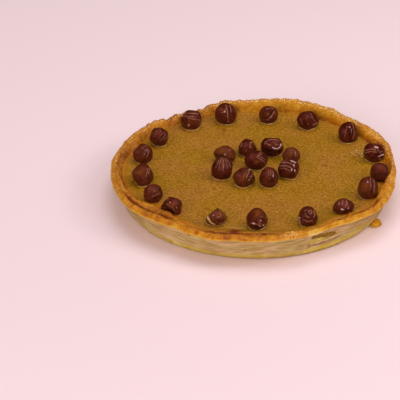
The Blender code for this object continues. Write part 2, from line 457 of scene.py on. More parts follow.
def chestnut_material():
    """Glazed chestnut: dark red brown, lighter along its ridges, partly as painted highlight, under a thin
    glossy syrup.
    """
    shader = Shader("glazed_chestnut")
    colour = shader.ramp(shader.noise(5 * MM, 3), (0.35, (54, 11, 7)), (0.65, (88, 28, 14)))
    fibre = shader.noise(1.7 * MM, 3, 0.6)
    colour = shader.mix(shader.ramp(fibre, (0.52, 0.0), (0.72, 0.5)), colour, (120, 58, 36))
    colour = shader.mix(shader.ramp(fibre, (0.3, 0.6), (0.45, 0.0)), colour, (34, 7, 6))
    colour = shader.tinted(colour, NUT_TINTS)
    shader.set(
        Base_Color=colour,
        Roughness=shader.scaled(shader.shade("gloss"), 0.0, 1.0, 0.5, 0.22),
        Normal=shader.bump(fibre, 0.2 * MM, 0.4),
        Specular_IOR_Level=0.12,
        Coat_Weight=0.3,
        Coat_Roughness=0.08,
        Coat_IOR=1.4,
    )
    return shader.material


def wet_material(name, size, detail, stops, roughness, specular, relief=0.0, strength=0.5):
    """Something thin and wet, cloudy at the given size."""
    shader = Shader(name)
    cloud = shader.noise(size, detail)
    shader.set(Base_Color=shader.ramp(cloud, *stops), Roughness=roughness, Specular_IOR_Level=specular)
    if relief:
        shader.set(Normal=shader.bump(cloud, relief, strength))
    return shader.material


def syrup_material():
    """The syrup that has run down round the chestnuts, made pale partly as painted light: a highlight round
    each foot.
    """
    stops = (0.35, (160, 108, 42)), (0.65, (208, 158, 92))
    return wet_material("chestnut_syrup", 3 * MM, 3, stops, 0.35, 0.3)


def leaked_material():
    """Custard that has run out of the case and set with a wet skin."""
    stops = (0.3, (112, 76, 14)), (0.52, (154, 110, 32)), (0.75, (186, 144, 60))
    return wet_material("leaked_custard", 3 * MM, 3, stops, 0.3, 0.3, 0.5 * MM, 0.6)


def drip_material():
    """A thick orange drop of custard."""
    stops = (0.35, (196, 124, 16)), (0.65, (226, 164, 44))
    return wet_material("custard_drip", 4 * MM, 2, stops, 0.22, 0.4)


def pale_material():
    """Pale custard, thinly spread."""
    stops = (0.35, (198, 156, 92)), (0.65, (228, 198, 150))
    return wet_material("pale_custard", 2 * MM, 3, stops, 0.3, 0.4, 0.2 * MM)


def floor_material():
    """A matt floor, nearly even in colour."""
    shader = Shader("studio_floor")
    colour = shader.ramp(shader.noise(0.8, 1), (0.3, (250, 226, 231)), (0.7, (247, 222, 228)))
    shader.set(Base_Color=colour, Roughness=0.5)
    return shader.material


# ---- The CAD's rim, as measured from the frame ----


def section_rings(node):
    """A turned CAD node's section points at each of its angles: rings[turn, point] holds radius and height.

    They start at the foot of the outside and run up, over the rim and down the inside.
    """
    points = np.array([vertex.co for vertex in node.data.vertices], float)
    radius = np.hypot(points[:, 0], points[:, 1])
    points, radius = points[radius > MM], radius[radius > MM]
    step = 360 / CAD_TURNS
    turn = np.round(np.degrees(np.arctan2(points[:, 1], points[:, 0])) / step).astype(int) % CAD_TURNS
    rings = []
    for number in range(CAD_TURNS):
        here = np.stack([radius[turn == number], points[turn == number, 2]], axis=1)
        here = np.unique(np.round(here, 5), axis=0)
        inside = here.mean(axis=0)
        here = here[np.argsort(np.arctan2(here[:, 1] - inside[1], here[:, 0] - inside[0]))]
        rings.append(np.roll(here, -int(np.argmin(here[:, 1])), axis=0))
    return np.array(rings)


def hermite(share, start, start_slope, end, end_slope):
    """A smooth curve between two values with their slopes, at a share of the way."""
    double, triple = share**2, share**3
    return (
        (2 * triple - 3 * double + 1) * start
        + (triple - 2 * double + share) * start_slope
        + (3 * double - 2 * triple) * end
        + (triple - double) * end_slope
    )


def around(values, angles):
    """Values known at the CAD's angles, smoothly filled in at any angles."""
    place = np.asarray(angles, float) / (360 / CAD_TURNS)
    first = np.floor(place).astype(int)
    share = (place - first).reshape(place.shape + (1,) * (values.ndim - 1))
    before, start, end, after = (values[(first + offset) % CAD_TURNS] for offset in (-1, 0, 1, 2))
    return hermite(share, start, (end - before) / 2, end, (after - start) / 2)


def along_section(rings, counts):
    """Fills in points along each section, counts[i] of them from point i on. Returns them and their places.

    A place is the number of the CAD point just passed, with the share of the way to the next one.
    """
    steps = np.diff(rings, axis=1)
    lengths = np.maximum(np.linalg.norm(steps, axis=-1, keepdims=True), 1e-9)
    slopes = steps / lengths
    before, after = lengths[:, :-1], lengths[:, 1:]
    inner = (slopes[:, :-1] * after + slopes[:, 1:] * before) / (after + before)
    tangents = np.concatenate([slopes[:, :1], inner, slopes[:, -1:]], axis=1)
    filled, places = [], []
    for number, count in enumerate(counts):
        start_slope, end_slope = (lengths[:, number] * tangents[:, number + end] for end in (0, 1))
        for share in np.arange(count) / count:
            filled.append(hermite(share, rings[:, number], start_slope, rings[:, number + 1], end_slope))
            places.append(number + share)
    filled.append(rings[:, -1])
    places.append(float(len(counts)))
    return np.stack(filled, axis=1), np.array(places)


# ---- The baked case ----


def crease_line(line, angles):
    """A crease's distance from the middle at each angle, and how open it is there, from 0 to 1."""
    turn, distance, (open_from, open_to) = line
    away = (angles + 270) % 360 - 270
    ends = smooth_step(turn[0] - 2, turn[0] + 6, away) * smooth_step(turn[-1] + 2, turn[-1] - 6, away)
    opened = between(angles, open_from, open_to, 3)
    return MM * np.interp(away, turn, distance), ends * (0.35 + 0.65 * opened)


def front_gap(angles):
    """How far the custard has come away from the case along the front, from 0 to 1."""
    uneven = fractal(polar(1.0, angles, 0.0), 0.09, 2, seed=18)
    return between(angles, GAP_START, GAP_END, 4) * np.clip(0.9 + 0.4 * uneven, 0.6, 1)


def open_front(angles, right=1.0):
    """Where the custard's edge stands free and in sight: 1 at the front, and a given value at the right."""
    return between(angles, GAP_START, GAP_END, 4) + right * between(angles, FREE_START, FREE_END, 2)


def lip_climb(angles):
    """How far the custard's lip stands over its level along the front."""
    return MM * np.interp(away_from(angles, 0), LIP_ANGLES, LIP_CLIMB)


def case_rings(node, angles):
    """The CAD case's section at each angle, with its inner edge reaching in at the front gap and the flaps.

    Where the custard has come away from it, nothing of the case hides the custard's side.
    """
    rings = around(section_rings(node), angles)
    gap = front_gap(angles)
    for point, inwards, down in GAP_REACH:
        rings[:, point, 0] -= inwards * MM * gap
        rings[:, point, 1] -= down * MM * gap
    line = rings[:, CAD_CUSTARD_LINE]
    sight = math.tan(math.radians(CAMERA_DOWN)) * np.abs(np.sin(np.radians(angles)))
    lowest_seen = line[:, 1] + lip_climb(angles) - GAP_SHOWS
    for point in (CAD_CREASE, CAD_BELOW_CREASE, CAD_INNER_TOP):
        highest = lowest_seen + sight * (rings[:, point, 0] - line[:, 0] - 1 * MM)
        rings[:, point, 1] -= open_front(angles) * np.maximum(0, rings[:, point, 1] - highest)
    flap = between(angles, *FLAP, 5) + bell(angles, *RIGHT_FLAP)
    rings[:, CAD_BELOW_CREASE, 0] -= 2.4 * MM * flap
    rings[:, CAD_INNER_TOP, 0] -= FLAP_REACH * flap
    rings[:, CAD_INNER_TOP, 1] += 0.2 * MM * flap
    return rings


class Case:
    """The baked case's shape: a grid over angles round the pie and places along its section."""

    def __init__(self, node):
        angles = np.arange(CRUST_TURNS) * 360 / CRUST_TURNS
        rings = case_rings(node, angles)
        section, places = along_section(rings, CRUST_STEPS)
        self.angle = angles[:, None]
        self.place = places[None, :]
        self.radius, self.height = section[..., 0].copy(), section[..., 1].copy()
        self.floor = section[:, -1, 1].mean()
        self.outline = polar(rings[:, CAD_LIP, None, 0], self.angle, 0.0)
        self.on_wall = smooth_step(CAD_LIP - 0.05, CAD_LIP - 0.35, self.place)
        past_lip = smooth_step(CAD_LIP - 0.2, CAD_LIP + 0.5, self.place)
        self.on_rim = past_lip * smooth_step(CAD_CUSTARD_LINE + 0.6, CAD_CUSTARD_LINE, self.place)
        self.radius -= LEDGE * self.on_wall * smooth_step(0.2, 3.6, self.place)
        self.jag_rim()
        self.crease_shade_and_browning = self.crease_rim()
        self.missing = self.break_wall()
        self.hollow_wall()
        self.crumb, self.lump, self.grid = self.roughened()

    def round_rim(self, size, octaves, seed):
        """Noise that changes round the rim only."""
        return fractal(self.outline, size, octaves, seed)

    def jag_rim(self):
        """A broken, wavy top edge, roughest at the back left."""
        jag = self.round_rim(5 * MM, 4, 1) * (1 + bells(self.angle, JAGGED))
        self.height += JAG * jag * (1 - 0.6 * between(self.angle, *FLAP, 5)) * self.on_rim
        self.radius += SWAY * self.round_rim(10 * MM, 3, 2) * self.on_rim

    def crease_rim(self):
        """Creases between the rim's outer ridge and its inner flap. Returns how dark they are painted, for
        browning and painted shade.
        """
        depth = np.zeros_like(self.radius)
        brown = np.zeros_like(self.radius)
        wander = 0.7 * MM * self.round_rim(5 * MM, 3, 11)
        for line, width, darkening in CREASES:
            distance, opened = crease_line(line, self.angle)
            away = (self.radius - distance - wander) / (width * (0.5 + 0.5 * opened))
            depth = np.maximum(depth, opened * hump(away, 0, 1) * self.on_rim)
            brown = np.maximum(brown, darkening * opened * hump(away, 0, 1.3) * self.on_rim)
        self.height -= CREASE_DEPTH * depth + DIP_DEPTH * bell(self.angle, *DIP) * self.on_rim
        return brown

    def break_wall(self):
        """The wall is broken at the front right, and set back. Returns where its top edge is missing."""
        turn = away_from(self.angle, 0)
        past = between(self.angle, *SET_BACK, 0.7) * (1 - 0.8 * smooth_step(-62, -30, turn))
        self.radius -= SET_BACK_DEPTH * past * self.on_wall * smooth_step(3 * MM, 9 * MM, self.height)
        missing = between(self.angle, *MISSING, 1.0) * (1 - 0.6 * smooth_step(-66, -60, turn))
        missing = missing * smooth_step(CAD_LIP - 1.2, CAD_LIP - 0.1, self.place)
        missing = missing * smooth_step(CAD_CREASE, CAD_SHOULDER, self.place)
        self.height -= MISSING_DEPTH * missing
        self.radius -= MISSING_WIDTH * missing
        return missing

    def hollow_wall(self):
        """The long hollow that the leak left, and the small hole under the lip at the front left."""
        start, top = HOLLOW_START
        end, bottom = HOLLOW_END
        level = self.height / MM
        middle = top + (bottom - top) * (away_from(self.angle, 0) - start) / (end - start)
        hollow = between(self.angle, start - 0.2, end, 0.5) * self.on_wall
        hollow = hollow * smooth_step(1.15, 0.85, np.abs(level - middle) / HOLLOW_HALF_HEIGHT)
        self.radius -= HOLLOW_DEPTH * hollow
        hole_angle, hole_height = HOLE
        hole = bell(self.angle, hole_angle, 1.4) * hump(level, hole_height, 2.0)
        self.radius -= HOLE_DEPTH * hole * self.on_wall

    def roughened(self):
        """Crumb, lumps, streaks and a fold, raised along the normals. Returns two noises and the grid."""
        grid = polar(self.radius, self.angle, self.height)
        crumb = fractal(grid, 3.0 * MM, 4, seed=3)
        lump = fractal(grid, 9 * MM, 2, seed=4)
        streak = fractal(polar(6, self.angle, self.height / (1.6 * MM)), 1.0, 3, seed=5)
        rough = 0.4 + bells(self.angle, LUMPY)
        raised = CRUMB * crumb * (0.2 + 0.8 * self.on_rim * rough) + LUMP * lump * self.on_rim * rough
        raised += STREAK * streak * self.on_wall * smooth_step(0.3, 1.0, self.place)
        fold_height = 15 + 0.5 * (self.angle % 360 - 218)
        fold = bell(self.angle, -142, 4) * hump(self.height / MM, fold_height, 1.6)
        raised += MM * self.on_wall * (0.45 * fractal(grid, 11 * MM, 2, seed=19) + 1.2 * fold)
        grid = grid + grid_normals(grid) * (raised * smooth_step(0.0, 0.8, self.place))[..., None]
        grid[..., 2] = np.maximum(grid[..., 2], 0.0)
        return crumb, lump, grid

    def bake(self):
        """How brown it is: pale wall, golden rim, paler lip as a painted highlight, browner inner wall."""
        angle, place = self.angle, self.place
        front = 1 - bell(angle, *BACK)
        ragged = place + 0.25 * self.round_rim(4 * MM, 3, 12)
        edge = smooth_step(CAD_LIP - 0.15, CAD_LIP + 0.35, ragged)
        # a paler line along the lip at the front: painted highlight
        lip = 0.21 * hump(place, CAD_LIP + 0.1, 0.5) * edge * front
        on_inner_wall = smooth_step(CAD_INNER_TOP - 0.6, CAD_INNER_TOP + 0.3, place)
        rim = 0.10 * self.crumb + 0.08 * self.lump + bells(angle, RIM_BROWN)
        rim += smooth_step(CAD_CREASE, CAD_INNER_TOP, place) * bells(angle, SLOPE_BROWN)
        rim += 0.13 * between(angle, 20, 80, 6) * hump(place, 9.7, 0.25)
        rim += bell(angle, *BACK) * 0.1 * hump(place, 4.8, 0.8)
        rim -= bell(angle, -12, 24) * 0.1 * hump(place, 5.2, 1.2)
        rim += 0.11 * front * fractal(self.grid, 6 * MM, 2, seed=20)
        stain = smooth_step(-0.1, 0.5, self.round_rim(14 * MM, 2, 17))
        stain = 0.32 * stain * smooth_step(CAD_CREASE, CAD_CUSTARD_LINE, place) * bell(angle, 134, 30)
        inner_wall = bell(angle, 178, 30, 0.12) * on_inner_wall
        return 0.08 + 0.42 * edge - lip + inner_wall + rim * self.on_rim + stain - 0.24 * self.missing

    def dark(self):
        """Creases darkened for browning and painted shade, painted shade on the gap's wall, dark spots on
        the outside (the first is painted shade in a hole) and a painted shadow under the ledge.
        """
        # painted shade on the case's wall inside the gap along the front
        gap_wall_shade = front_gap(self.angle) * smooth_step(CAD_INNER_TOP - 0.7, CAD_INNER_TOP + 0.1, self.place)
        dark = np.clip(self.crease_shade_and_browning + 0.45 * gap_wall_shade, 0, 1)
        level = self.height / MM
        for spot_angle, spot_height, size in WALL_SPOTS:
            off = np.hypot(2.3 * away_from(self.angle, spot_angle), level - spot_height)
            dark = np.maximum(dark, 0.75 * hump(off, 0, size) * self.on_wall)
        # a painted shadow under the leaked ledge
        shadow_under_ledge = hump(level, 10.6, 0.8) * between(self.angle, -66, -50, 1.5)
        return np.maximum(dark, 0.7 * shadow_under_ledge * self.on_wall)

    def grease(self):
        """Greasy pastry along the foot, and custard smeared on the wall round the leak."""
        level = self.height / MM
        low = smooth_step(9.0, 4.5, self.grid[..., 2] / MM + 1.2 * self.round_rim(9 * MM, 3, 13))
        smear = bell(self.angle, -39, 5) * smooth_step(19, 12, level)
        smear = np.maximum(smear, between(self.angle, -69, -43, 3) * smooth_step(7.5, 3.5, level))
        below_hollow = between(self.angle, -68, -59, 1.5) * smooth_step(12.6, 13.4, level)
        below_hollow = below_hollow * smooth_step(18, 16, level)
        grease = np.maximum(low * (0.7 + bells(self.angle, GREASY)), 0.8 * smear)
        return np.maximum(grease, 0.75 * below_hollow) * self.on_wall

    def shades(self):
        """What the case's material reads at each point."""
        topmost = smooth_step(CAD_INNER_TOP, CAD_CREASE, self.place)
        # where pale specks are painted as glints, a painted highlight; the same shade sets how strongly the
        # grain shows
        glint_specks = 0.08 + bells(self.angle, PAINTED_GLINT_SPECKS) + topmost * bells(self.angle, TOP_PAINTED_GLINT_SPECKS)
        # the wall's streaks are left off a strip down the break's edge, so it shows pale: painted highlight
        # on that edge, over pale dough
        break_edge_highlight = 0.9 * bell(self.angle, -69.0, 0.5)
        shades = {
            "bake": self.bake(),
            "dark": self.dark(),
            "grease": self.grease(),
            "wall": self.on_wall * smooth_step(0.2, 1.0, self.place) * (1 - break_edge_highlight),
            "grit": glint_specks * self.on_rim,
        }
        shape = self.radius.shape
        return {name: np.clip(np.broadcast_to(values, shape), 0, 1) for name, values in shades.items()}


def make_crust(frame, material):
    """The pastry case, with the CAD's outline and everything that baking did to it. Returns its grid too."""
    case = Case(frame["nodes"]["crust"])
    crust = closed_piece("pastry_case", Skin(case.grid, (0, 0, 0), (0, 0, case.floor), case.shades()))
    finish_piece(crust, material, "crust", "crust")
    return case.grid


def wall_radius(crust_grid, angle, height):
    """The distance from the middle to the case's outside, at angles and heights."""
    column = np.round(np.asarray(angle) % 360 * CRUST_TURNS / 360).astype(int) % CRUST_TURNS
    outside = crust_grid[:, : sum(CRUST_STEPS[:CAD_LIP]) + 1]
    found = [
        np.interp(level, outside[turn, :, 2], np.hypot(outside[turn, :, 0], outside[turn, :, 1]))
        for turn, level in zip(column.ravel(), np.asarray(height).ravel())
    ]
    return np.reshape(found, np.shape(height))


def wall_run(crust_grid, start, end, half_height, thickness, seed):
    """The skin of a run of custard that clings to the wall between two points.

    The points are an angle and a height in mm, and the half height and the thickness are mm too.
    """
    share = np.linspace(0.01, 0.99, 90)
    angles = start[0] + (end[0] - start[0]) * share
    middle = MM * (start[1] + (end[1] - start[1]) * share)
    taper = np.clip(4 * share * (1 - share), 0, 1) ** 0.25
    along = polar(np.full_like(share, 130 * MM), angles, middle)
    middle = middle + 0.7 * MM * fractal(along, 7 * MM, 2, seed=seed)
    fullness = taper * (1 + 0.35 * fractal(along, 5 * MM, 3, seed=seed + 1))
    round_it = np.radians(np.arange(24) * 15)[:, None]
    heights = middle + half_height * MM * fullness * np.cos(round_it)
    out = MM * np.where(np.sin(round_it) > 0, thickness, 0.8) * np.sin(round_it) * fullness
    distance = wall_radius(crust_grid, np.broadcast_to(angles, heights.shape), heights) + out
    grid = polar(distance, angles[None, :], heights)
    return Skin(grid[::-1], tuple(grid[:, 0].mean(axis=0)), tuple(grid[:, -1].mean(axis=0)))


# ---- The custard ----


def custard_surface(places, level):
    """The height of the baked custard's gently uneven top, at places away from the case."""
    flat = np.concatenate([np.asarray(places)[..., :2], np.zeros(np.shape(places)[:-1] + (1,))], axis=-1)
    waves = fractal(flat, 28 * MM, 2, seed=7, basis="PERLIN_NEW")
    return level + 0.35 * MM * waves + 0.15 * MM * fractal(flat, 4 * MM, 3, seed=8)


def custard_climb(angles):
    """How far the custard climbs the case: to a thin lip along the front, and over the rim left of it."""
    return LEAST_CLIMB + lip_climb(angles) + MM * bells(angles, ((-121, 5, 4.5), (40, 20, 0.8)))


def custard_edge(case, angles, climb):
    """The distance from the middle to the custard's edge."""
    line, inner_top = case[:, CAD_CUSTARD_LINE], case[:, CAD_INNER_TOP]
    gap = front_gap(angles)
    slope = (inner_top[:, 0] - line[:, 0]) / (inner_top[:, 1] - line[:, 1])
    edge = np.minimum(line[:, 0] + slope * climb, inner_top[:, 0]) - CUSTARD_GAP - GAP_WIDTH * gap
    outline = polar(edge, angles, 0.0)
    return edge + 0.5 * MM * fractal(outline, 6 * MM, 3, seed=16) * (1 + 1.4 * gap)


def front_dark_patch(angle, from_edge):
    """Where the custard is painted dark along the front, and dips a little."""
    return bell(angle, *FRONT_DARK_PATCH) * smooth_step(16 * MM, 11.5 * MM, from_edge)


def custard_top(angles, edge, climb, level):
    """The custard's top, from its edge to its middle, and how far its places are from the edge."""
    inner = np.linspace(1, 0, CUSTARD_RINGS, endpoint=False)[:, None] * (edge - EDGE_BAND)
    outer = edge - EDGE_BAND * np.linspace(0, 1, CUSTARD_EDGE_RINGS, endpoint=False)[:, None]
    radius = np.concatenate([outer, inner]).T
    top = polar(radius, angles[:, None], level)
    from_edge = edge[:, None] - radius
    rise = climb[:, None] * smooth_step(0, 1, 1 - from_edge / CLIMB_REACH) ** 1.2
    free = open_front(angles)[:, None]
    rounding = MM * (0.5 + 1.3 * free) * smooth_step(1, 0, from_edge / (MM * (1 + 1.2 * free)))
    pits = 0.15 * MM * smooth_step(0.25, 0.6, fractal(top, 1.8 * MM, 2, seed=9))
    sunk = 0.5 * MM * front_dark_patch(angles[:, None], from_edge)
    top[..., 2] = custard_surface(top, level) + rise - rounding - pits - sunk
    return top, from_edge


def custard_side(case, angles, edge, top_height, level, bottom):
    """The custard's side, up the inside of the case and out to the custard's edge."""
    share = np.array(CUSTARD_SIDE)[None, :]
    height = bottom * (1 - share) + (top_height - 0.15 * MM) * share
    below = (height - bottom) / (level - bottom)
    above = (height - level) / (top_height - level)
    foot_radius = case[:, -1, :1] - CUSTARD_GAP
    line_radius = case[:, CAD_CUSTARD_LINE, :1] - CUSTARD_GAP
    radius = np.where(
        below < 1,
        foot_radius * (1 - below) + line_radius * below,
        line_radius * (1 - above) + (edge[:, None] - 0.05 * MM) * above,
    )
    return polar(radius, angles[:, None], height)


def custard_shades(angles, top, from_edge):
    """What the custard's material reads on its top: a golden edge, pale lines painted as highlights, an edge
    painted dark as shade at the front, and dark marks.
    """
    angle = angles[:, None]
    ragged = from_edge + 1.2 * MM * fractal(top, 6 * MM, 3, seed=14)
    golden = 0.15 + bells(angle, GOLDEN_CUSTARD) + 0.35 * front_gap(angles)[:, None]
    rim = golden * smooth_step(8 * MM, 1 * MM, ragged)
    stain = MM * np.interp(angle - 360, FLAP_STAIN_ANGLES, FLAP_STAIN)
    rim = np.maximum(rim, 0.9 * smooth_step(1.0 * MM, -1.5 * MM, ragged - stain) * (stain > 0))
    # pale lines along the custard's edge and one along the front: painted highlight
    pale = smooth_step(1.6 * MM, 0.5 * MM, ragged) * (0.15 + 0.6 * between(angle, 28, 62, 8))
    pale = np.maximum(pale, 0.45 * bell(angle, -101, 5) * hump(ragged, 18.5 * MM, 1.6 * MM))
    # the custard's edge is painted dark where it stands free along the front: painted shade of the gap
    darkening = open_front(angle, 0.25) * smooth_step(2.4 * MM, 0.9 * MM, from_edge)
    dark = np.maximum(np.clip(1.15 * front_dark_patch(angle, from_edge), 0, 1), 0.7 * darkening)
    fold = hump(from_edge, 9 * MM + 0.2 * MM * (angle - 324), 1.6 * MM)
    dark = np.maximum(dark, 0.35 * fold * bell(angle, -37, 7))
    for mark_angle, distance, length, width in CUSTARD_MARKS:
        mark = polar(distance * MM, mark_angle, 0.0)
        off = np.hypot((top[..., 0] - mark[0]) / (length * MM), (top[..., 1] - mark[1]) / (width * MM))
        dark = np.maximum(dark, 0.7 * hump(off, 0, 1))
    return {"rim": rim, "pale": pale, "dark": dark}


def make_custard(frame, material):
    """The filling: a finely pitted top that climbs a little at the case. Returns its level."""
    angles = np.arange(CUSTARD_TURNS) * 360 / CUSTARD_TURNS
    case = case_rings(frame["nodes"]["crust"], angles)
    level = case[:, CAD_CUSTARD_LINE, 1].mean()
    bottom = case[:, -1, 1].mean() + CUSTARD_GAP
    climb = custard_climb(angles)
    edge = custard_edge(case, angles, climb)
    top, from_edge = custard_top(angles, edge, climb, level)
    side = custard_side(case, angles, edge, top[:, :1, 2], level, bottom)
    # its side is golden and partly dark; the dark is painted shade, seen in the gap along the front
    side_shades = {"rim": 1.0, "pale": 0.0, "dark": 0.6}
    shades = {
        name: np.concatenate([np.full(side.shape[:2], side_shades[name]), values], axis=1)
        for name, values in custard_shades(angles, top, from_edge).items()
    }
    last = (0, 0, top[:, -1, 2].mean())
    skin = Skin(np.concatenate([side, top], axis=1), (0, 0, bottom), last, shades)
    custard = closed_piece("custard_filling", skin)
    finish_piece(custard, material, "custard", "custard")
    return level


# ---- The chestnuts ----


class Nut(NamedTuple):
    """What tells one chestnut from the next, as the camera sees it, in hundredths of the nut's half width.

    crest to cream are marks, each a half width and then the places of a spot or a line, right and up of the
    middle. cuts are pressed sides: a distance and a direction. point is a height and a direction.
    """

    crest: tuple = ()
    groove: tuple = ()
    glint: tuple = ()
    amber: tuple = ()
    mauve: tuple = ()
    cream: tuple = ()
    cuts: tuple = ()
    point: tuple = ()
    lumps: float = 0.05
    tone: float = 0.1
    gloss: float = 0.5


